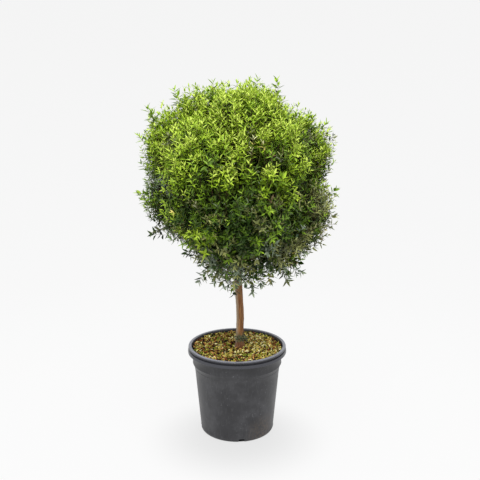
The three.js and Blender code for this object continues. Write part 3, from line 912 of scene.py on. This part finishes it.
# two outlines as [share of length, share of width], with their faces: a full leaf for the outer
# shoots and a plainer one for those further in
fullLeaf = {
    "outline": np.array([
        [0, 0], [0.3, -0.5], [0.3, 0], [0.3, 0.5], [0.66, -0.36], [0.66, 0], [0.66, 0.36], [1, 0]]),
    "triangles": np.array([[0, 1, 2], [0, 2, 3], [4, 7, 5], [5, 7, 6]]),
    "quads": np.array([[1, 4, 5, 2], [2, 5, 6, 3]]),
}
plainLeaf = {
    "outline": np.array([[0, 0], [0.42, -0.5], [0.42, 0], [0.42, 0.5], [1, 0]]),
    "triangles": np.array([[0, 1, 2], [0, 2, 3], [1, 4, 2], [2, 4, 3]]),
    "quads": np.zeros((0, 4), dtype=int),
}


def layLeaves(kinds):
    # every leaf's base, direction, upper side, size and tone
    parts = []
    for number, kind in enumerate(shootLayers + [strayShoots]):
        which = np.nonzero(layer == number)[0]
        scale = kind["size"] * leafGrowth[which]
        for pair in range(kind["pairs"]):
            back = leaf["back"][pair] * kind["size"] * leafSpread[which] * rng.uniform(0.85, 1.2, len(which))
            s = np.clip(1 - back / reach[which], 0, 1)[:, None]
            base = root[which] + (heading[which] * s + bend[which] * s ** 2) * reach[which][:, None]
            along = unit(heading[which] + 2 * bend[which] * s)
            e1 = unit(np.cross(along, np.array([0.21, 0.93, 0.3])))
            e2 = np.cross(along, e1)
            turn = spin[which] + pair * math.pi / 2 + rng.normal(0, 0.22, len(which))
            for side in (0, math.pi):
                a = (turn + side)[:, None]
                radial = np.cos(a) * e1 + np.sin(a) * e2
                opening = (leaf["open"][pair] + rng.normal(0, 0.14, len(which)))[:, None]
                axis = np.cos(opening) * along + np.sin(opening) * radial
                upper = np.sin(opening) * along - np.cos(opening) * radial + upwards * leaf["rise"]
                upper = unit(upper - axis * np.sum(upper * axis, axis=1, keepdims=True))
                size = leaf["long"][pair] * scale * rng.uniform(0.78, 1.15, len(which))
                step = np.clip(pair + (rng.random(len(which)) < 0.2) - (rng.random(len(which)) < 0.15), 0, 5)
                tone = sprayTones[kinds[which], step]
                keep = rng.random(len(which)) < leaf["kept"][pair == 5]
                row = [column[keep] for column in (base, axis, upper, size, tone, owner[which])]
                parts.append(row + [np.full(keep.sum(), pair >= kind["full"])])
    return [np.concatenate(column) for column in zip(*parts)]


def leafMesh(shape, base, axis, upper, size):
    # the same outline laid on every leaf's own axes, folded along the midrib and curled; the bigger
    # a leaf, the broader it is for its length
    count = len(base)
    wide = size * leaf["wide"] * np.sqrt(size / leaf["usual"]) * rng.uniform(0.85, 1.2, count)
    wide = wide[:, None, None]
    fold = leaf["fold"] * rng.uniform(0.3, 1.3, (count, 1, 1))
    curl = leaf["curl"] * rng.uniform(-0.5, 2, (count, 1, 1))
    u = shape["outline"][:, 0][None, :, None]
    v = shape["outline"][:, 1][None, :, None]
    long = size[:, None, None]
    across = np.cross(upper, axis)[:, None]
    points = base[:, None] + axis[:, None] * u * long + across * v * wide
    points += upper[:, None] * (np.abs(v) * wide * fold - u ** 2 * curl * long)
    first = (np.arange(count) * len(shape["outline"]))[:, None, None]
    triangles = (first + shape["triangles"][None]).reshape(-1, 3)
    quads = (first + shape["quads"][None]).reshape(-1, 4)
    return points.reshape(-1, 3), triangles, quads


def makeLeaves():
    base, axis, upper, size, tone, home, plain = layLeaves(dealKinds())
    for i, name in enumerate(clumpNames):
        points, faces, colours, start = [], [], [], 0
        for shape, mine in ((fullLeaf, (home == i) & ~plain), (plainLeaf, (home == i) & plain)):
            made, triangles, quads = leafMesh(shape, base[mine], axis[mine], upper[mine], size[mine])
            points.append(made)
            for cells, each in ((triangles, "triangles"), (quads, "quads")):
                if len(cells):
                    faces.append(cells + start)
                    colours.append(np.repeat(tone[mine], len(shape[each])))
            start += len(made)
        mesh = joinedMesh("leaves_" + name[8:], np.concatenate(points), faces, colours)
        finishPiece("leaves_" + name[8:], mesh, leafMaterials, [name], smooth=False)
    return len(base)


spin = rng.uniform(0, 2 * math.pi, shootCount)
leafCount = makeLeaves()
print("leaves:", leafCount)

# the mulch: a bed of peat, with loose bits and moss on it
mulch = {
    "edge": 109 * mm, "low": 209.6 * mm, "rise": 2 * mm, "lump": 2 * mm, "thick": 6 * mm,
    "turns": 96, "rings": 34, "ringWidth": 3 * mm, "seed": 5,
    "bits": 3300, "long": [5.5 * mm, 12 * mm], "wide": [2 * mm, 4 * mm], "curl": [0.4, 1.6],
    "stemClear": 12.5 * mm,
    # x, y, size and weight of the darker patches, the last of them paler
    "darker": [[-0.055, 0.06, 0.03, 0.5], [-0.085, -0.01, 0.035, 0.45], [-0.05, -0.045, 0.022, 0.5],
               [0.005, -0.085, 0.028, 0.45], [0.07, -0.02, 0.05, -0.4]],
}


def mulchHeight(x, y):
    r = math.hypot(x, y)
    swell = noise.noise(Vector((x * 45, y * 45, 1.3))) + 0.6 * noise.noise(Vector((x * 140, y * 140, 4.1)))
    return mulch["low"] + mulch["rise"] * (1 - r / mulch["edge"]) + mulch["lump"] * swell


def mulchMaterial():
    # damp peat between the hulls, nearly black-brown with a little moss
    material, tree, shader = newMaterial("dampPeat", "#33261a", 0.95, 1.35)
    place = addNode(tree, "TexCoord").outputs["Object"]
    # crumbs about 5 mm across
    crumbs = addNode(tree, "TexNoise", {"Vector": place, "Scale": perMm / 5, "Detail": 5, "Roughness": 0.7})
    tones = addNode(tree, "ValToRGB", {"Fac": crumbs})
    setStops(tones, [[0.3, "#0e0905"], [0.5, "#1f150b"], [0.62, "#332a12"], [0.75, "#454518"]])
    bump = addNode(tree, "Bump", {"Height": crumbs, "Strength": 0.8, "Distance": 1.5 * mm})
    setInputs(tree, shader, {"Base Color": tones, "Normal": bump})
    return material


def makeMulchBed():
    bm = bmesh.new()
    disc = bmesh.ops.create_circle(bm, cap_ends=True, segments=mulch["turns"], radius=mulch["edge"])["verts"]
    bmesh.ops.translate(bm, verts=disc, vec=(0, 0, mulch["low"] - mulch["thick"]))
    wall = bmesh.ops.extrude_face_region(bm, geom=list(bm.faces))["geom"]
    top = [g for g in wall if isinstance(g, bmesh.types.BMFace)]
    raised = [g for g in wall if isinstance(g, bmesh.types.BMVert)]
    bmesh.ops.translate(bm, verts=raised, vec=(0, 0, mulch["thick"]))
    for _ in range(mulch["rings"]):
        bmesh.ops.inset_region(bm, faces=top, thickness=mulch["ringWidth"])
    for v in bm.verts:
        if v.co.z > mulch["low"] - 1 * mm:
            v.co.z = mulchHeight(v.co.x, v.co.y)
    bmesh.ops.recalc_face_normals(bm, faces=bm.faces)
    return finishPiece("potting_mix", meshOf("potting_mix", bm), [mulchMaterial()], [])


# dry hulls, bark crumbs and moss: colour, roughness, share where it is pale and where it is dark
bitTones = {
    "hullPale": ["#f0e8a8", 0.7, 0.20, 0.03], "hullStraw": ["#d2c160", 0.7, 0.23, 0.08],
    "hullOlive": ["#a89b38", 0.7, 0.22, 0.16], "hullTan": ["#bb8a4a", 0.75, 0.14, 0.12],
    "hullRusty": ["#80421a", 0.8, 0.10, 0.22], "crumbBrown": ["#341c0c", 0.85, 0.08, 0.30],
    "mossGreen": ["#7c8c22", 0.8, 0.10, 0.14],
}


def makeBits():
    # curled hulls and moss sprigs, joined: each a bent, cupped strip
    own = np.random.default_rng(mulch["seed"])
    n = mulch["bits"]
    r = (mulch["edge"] - 1.5 * mm) * np.sqrt(own.random(n))
    a = own.uniform(0, 2 * math.pi, n)
    x, y = r * np.cos(a), r * np.sin(a)
    clear = np.hypot(x - stem["baseX"], y) > mulch["stemClear"]
    x, y, n = x[clear], y[clear], clear.sum()
    z = np.array([mulchHeight(u, v) for u, v in zip(x, y)]) + own.uniform(0.3, 4.2, n) * mm
    # darker patches about 35 mm across, and a few of their own
    dark = np.array([0.5 + 1.1 * noise.noise(Vector((u, v, 0.7)) * (perMm / 35)) for u, v in zip(x, y)])
    for u, v, size, weight in mulch["darker"]:
        dark += weight * np.exp(-((x - u) ** 2 + (y - v) ** 2) / size ** 2)
    dark = np.clip(dark, 0, 1)[:, None]
    pale, deep = (np.array([t[i] for t in bitTones.values()]) for i in (2, 3))
    share = pale[None] / pale.sum() * (1 - dark) + deep[None] / deep.sum() * dark
    tone = (own.random(n)[:, None] > np.cumsum(share, axis=1)).sum(axis=1).clip(0, len(bitTones) - 1)
    turn = own.uniform(0, 2 * math.pi, n)
    tilt = own.normal(0, 0.5, n)
    axis = np.stack([np.cos(turn) * np.cos(tilt), np.sin(turn) * np.cos(tilt), np.sin(tilt)], axis=1)
    upper = unit(upwards + own.normal(0, 0.5, (n, 3)))
    upper = unit(upper - axis * np.sum(upper * axis, axis=1, keepdims=True))
    across = np.cross(upper, axis)
    long, wide, curl = (own.uniform(*mulch[key], n)[:, None, None] for key in ("long", "wide", "curl"))
    shape = np.array([[s, w] for s in (-0.5, -0.18, 0.18, 0.5) for w in (-0.5, 0.5)])
    u, v = shape[:, 0][None, :, None], shape[:, 1][None, :, None]
    narrow = np.where(np.abs(u) > 0.4, 0.35, 1.0)
    points = np.stack([x, y, z], axis=1)[:, None] + axis[:, None] * u * long
    points += across[:, None] * v * narrow * wide
    points += upper[:, None] * ((0.12 - u ** 2) * curl * long * 0.8 - 0.5 * np.abs(v) * wide)
    cells = np.array([[0, 2, 3, 1], [2, 4, 5, 3], [4, 6, 7, 5]])
    quads = ((np.arange(n) * 8)[:, None, None] + cells[None]).reshape(-1, 4)
    mesh = joinedMesh("mulch_hulls", points.reshape(-1, 3), [quads], [np.repeat(tone, 3)])
    materials = [newMaterial(name, t[0], t[1], gloss=0.2)[0] for name, t in bitTones.items()]
    return finishPiece("mulch_hulls", mesh, materials, ["soil"], smooth=False)


# flakes of moss round the stem: how many, how far from its middle, how far they spread on the right and
# elsewhere, and how high they lie
moss = {"flakes": 300, "near": 9.5 * mm, "spread": [6.5 * mm, 1.6 * mm], "height": 236 * mm, "seed": 6}


def makeMossCollar():
    # dark cushions of moss and algae, fullest on the stem's right
    own = np.random.default_rng(moss["seed"])
    n = moss["flakes"]
    bearing = own.normal(0, 1.5, n)
    beyond = np.abs(own.normal(0, 1, n)) * np.interp(np.abs(bearing), [0, 1.2], moss["spread"])
    reach = moss["near"] + beyond
    height = moss["height"] + own.normal(0, 3, n) * mm - beyond * 0.6
    centre = np.stack([stem["baseX"] + reach * np.cos(bearing), reach * np.sin(bearing), height], axis=1)
    axis = unit(own.normal(0, 1, (n, 3)) + np.array([0, 0, 0.6]))
    side = unit(np.cross(axis, own.normal(0, 1, (n, 3)))) * own.uniform(1.0, 1.9, n)[:, None] * mm
    up = axis * own.uniform(1.6, 3.2, n)[:, None] * mm
    points = np.stack([centre - up, centre + side, centre + up, centre - side], axis=1)
    quads = np.arange(4 * n).reshape(n, 4)
    mesh = joinedMesh("moss_collar", points.reshape(-1, 3), [quads], [own.integers(0, 3, n)])
    materials = [newMaterial(name, colour, 0.9)[0] for name, colour in (
        ("mossShade", "#464d38"), ("mossGrey", "#6b7359"), ("mossOlive", "#7d8153"))]
    return finishPiece("moss_collar", mesh, materials, [], smooth=False)


makeMulchBed()
makeBits()
makeMossCollar()
print("mulch made")

# the floor, the light and the camera; the paper's glow, with its painted shadow, is given by distance from
# the shaded place
studio = {
    "paper": "#424242", "paintedShadeUnderPot": [0.0818, 0.0848],
    "shade": (0, -0.06, 0), "glow": [[0.05, 0.73], [0.25, 0.885], [1.7, 0.865], [4.6, 0.858]],
    "radius": 4.2, "curve": 1.4, "wall": 4.0, "turns": 64, "sunk": 0.3 * mm,
    "zenith": 1.38, "horizon": 0.80, "nadir": 0.36, "leftward": 0.10,
    "lamps": [["topSoftbox", 37, 1.5, [0.0, -1.0, 2.4]]], "lampsAim": [0, 0, 0.5],
    "eye": [0.0071, -1.723, 0.873], "down": 12.824, "sensor": 36, "lens": 741 / 480 * 36,
}


def makeBackdrop(p):
    # seamless paper that runs up into a wall all round
    flat = p["radius"] - p["curve"]
    line = [(0, 0), *quarter(flat, p["curve"], p["curve"], -90, 0, 12), (p["radius"], p["wall"])]
    bm = spunShell([(r, z - p["sunk"]) for r, z in line], p["turns"])
    bmesh.ops.reverse_faces(bm, faces=bm.faces)
    # matt paper that glows as if lit from behind, so that its own shadows stay faint; the glow carries
    # painted shade
    paper, tree, shader = newMaterial("seamlessPaper", p["paper"], 0.9, gloss=0)
    place = addNode(tree, "TexCoord").outputs["Object"]
    # a painted shadow: faintly shaded in front of the pot, then brighter, and a little less towards the wall
    away = addNode(tree, "VectorMath", {0: place, 1: p["shade"]}, operation="DISTANCE")
    glow = p["glow"][0][1]
    for (near, nearGlow), (far, farGlow) in zip(p["glow"], p["glow"][1:]):
        change = addNode(tree, "MapRange", {
            "Value": away, "From Min": near, "From Max": far, "To Max": farGlow - nearGlow},
            interpolation_type="SMOOTHSTEP")
        glow = addNode(tree, "Math", {0: change, 1: glow}, operation="ADD")
    # and painted shade, dark where the pot stands
    middle = addNode(tree, "VectorMath", {0: place}, operation="LENGTH")
    inner, outer = p["paintedShadeUnderPot"]
    beyond = addNode(tree, "MapRange", {"Value": middle, "From Min": inner, "From Max": outer})
    glow = addNode(tree, "Math", {0: glow, 1: beyond}, operation="MULTIPLY")
    setInputs(tree, shader, {"Emission Color": (1, 1, 1, 1), "Emission Strength": glow})
    backdrop = addObject("studio_backdrop", meshOf("studio_backdrop", bm), [paper])
    backdrop.visible_diffuse = False  # the paper throws no light back up under the crown
    backdrop.visible_shadow = False


def makeRoom(p):
    # a soft room, brighter overhead than underfoot and on the left than on the right
    world = bpy.data.worlds.new("softRoom")
    world.use_nodes = True
    tree = world.node_tree
    toward = addNode(tree, "SeparateXYZ", {"Vector": addNode(tree, "TexCoord").outputs["Generated"]})
    above = addNode(tree, "MapRange", {
        "Value": toward.outputs["Z"], "To Min": p["horizon"], "To Max": p["zenith"]})
    below = addNode(tree, "MapRange", {
        "Value": toward.outputs["Z"], "From Min": -1, "From Max": 0,
        "To Min": p["nadir"] - p["horizon"], "To Max": 0})
    across = addNode(tree, "Math", {0: toward.outputs["X"], 1: -p["leftward"]}, operation="MULTIPLY")
    total = addNode(tree, "Math", {0: above, 1: below}, operation="ADD")
    total = addNode(tree, "Math", {0: total, 1: across}, operation="ADD")
    setInputs(tree, tree.nodes["Background"], {"Color": (1, 1, 1, 1), "Strength": total})
    bpy.context.scene.world = world
    for name, power, size, place in p["lamps"]:
        lamp = bpy.data.lights.new(name, "AREA")
        lamp.energy = power
        lamp.size = size
        light = addObject(name, lamp)
        light.location = place
        light.rotation_euler = (Vector(place) - Vector(p["lampsAim"])).to_track_quat("Z", "Y").to_euler()


def makeCamera(p):
    camera = bpy.data.cameras.new("camera")
    camera.lens = p["lens"]
    camera.sensor_width = p["sensor"]
    eye = addObject("camera", camera)
    eye.location = p["eye"]
    eye.rotation_euler = (math.radians(90 - p["down"]), 0, 0)
    bpy.context.scene.camera = eye
    bpy.context.scene.view_settings.view_transform = "Standard"


makeBackdrop(studio)
makeRoom(studio)
makeCamera(studio)
print("studio made")
